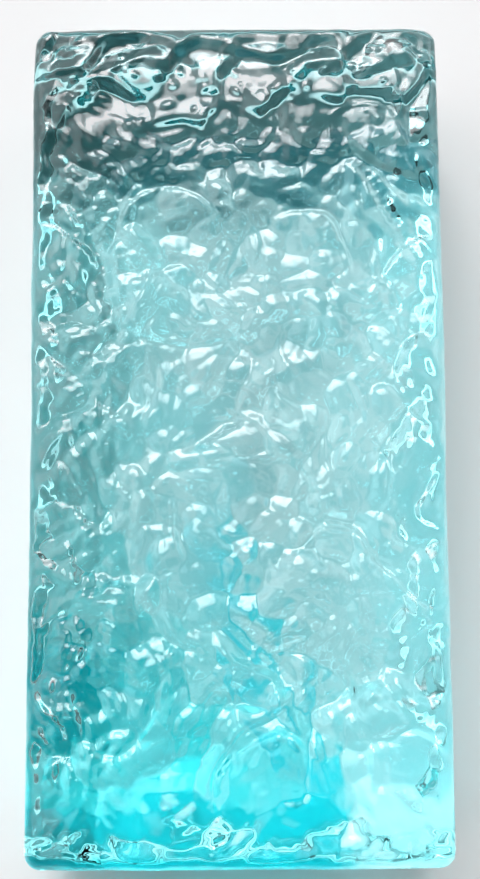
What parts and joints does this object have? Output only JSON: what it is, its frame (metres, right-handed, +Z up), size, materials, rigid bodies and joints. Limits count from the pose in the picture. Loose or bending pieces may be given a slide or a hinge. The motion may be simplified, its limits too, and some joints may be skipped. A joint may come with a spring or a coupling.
{
  "type": "glass block",
  "caption": "Solid cast glass brick with a rippled face and rounded edges, for walls and screens that let light through.",
  "frame": {"origin": "centre of the footprint, on the flat face that the brick rests on", "axes": "+X across the brick, +Y along its length, +Z up through the rippled face"},
  "size_m": [0.0992, 0.2005, 0.0529],
  "materials": {
    "aqua_glass": "clear aqua glass, uneven in colour, with a fire-polished rippled face"
  },
  "bodies": {
    "root": {"glass_block": "aqua_glass"}
  },
  "joints": []
}
